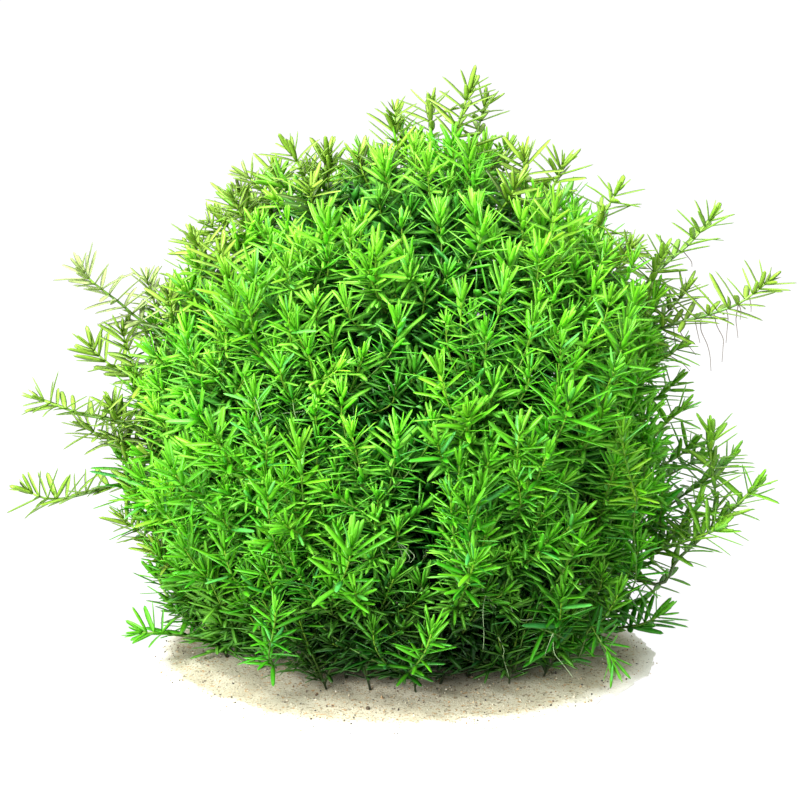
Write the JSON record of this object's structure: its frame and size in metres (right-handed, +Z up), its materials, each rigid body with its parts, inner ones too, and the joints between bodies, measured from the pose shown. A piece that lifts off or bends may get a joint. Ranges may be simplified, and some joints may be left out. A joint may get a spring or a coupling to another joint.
{
  "type": "aquarium stem plant",
  "caption": "Dense bushy clump of dwarf rotala with whorls of narrow green leaves, rooted in a low patch of pale sand.",
  "frame": {"origin": "middle of the clump's box, on the surface that the sand rests on", "axes": "+X to the right along the clump's widest extent, +Y to its back, +Z up"},
  "size_m": [0.312, 0.2192, 0.239],
  "materials": {
    "leaf": "satin",
    "root": "matte",
    "sand": "matte",
    "grain": "matte"
  },
  "bodies": {
    "root": {"sand": "sand", "stem_back_01": "leaf", "stem_back_02": "leaf", "stem_back_03": "leaf", "stem_back_04": "leaf", "stem_back_05": "leaf", "stem_back_06": "leaf", "stem_back_07": "leaf", "stem_front_01": "leaf", "stem_front_02": "leaf", "stem_front_03": "leaf", "stem_front_04": "leaf", "stem_front_05": "leaf", "stem_front_06": "leaf", "stem_front_07": "leaf", "stem_front_08": "leaf", "stem_front_09": "leaf", "stem_front_10": "leaf", "stem_front_11": "leaf", "stem_front_12": "leaf", "stem_left_01": "leaf", "stem_left_02": "leaf", "stem_left_03": "leaf", "stem_left_04": "leaf", "stem_left_05": "leaf", "stem_left_06": "leaf", "stem_left_07": "leaf", "stem_left_08": "leaf", "stem_left_09": "leaf", "stem_left_10": "leaf", "stem_left_11": "leaf", "stem_left_12": "leaf", "stem_left_13": "leaf", "stem_right_01": "leaf", "stem_right_02": "leaf", "stem_right_03": "leaf", "stem_right_04": "leaf", "stem_right_05": "leaf", "stem_right_06": "leaf", "stem_right_07": "leaf", "stem_right_08": "leaf", "stem_right_09": "leaf", "stem_right_10": "leaf", "stem_right_11": "leaf", "stem_right_12": "leaf", "stem_right_13": "leaf", "stem_right_14": "leaf", "stem_top_01": "leaf", "stem_top_02": "leaf", "stem_top_03": "leaf", "stem_top_04": "leaf", "stem_top_05": "leaf", "stem_top_06": "leaf", "stem_top_07": "leaf", "stem_top_08": "leaf", "stem_top_09": "leaf"}
  },
  "joints": []
}
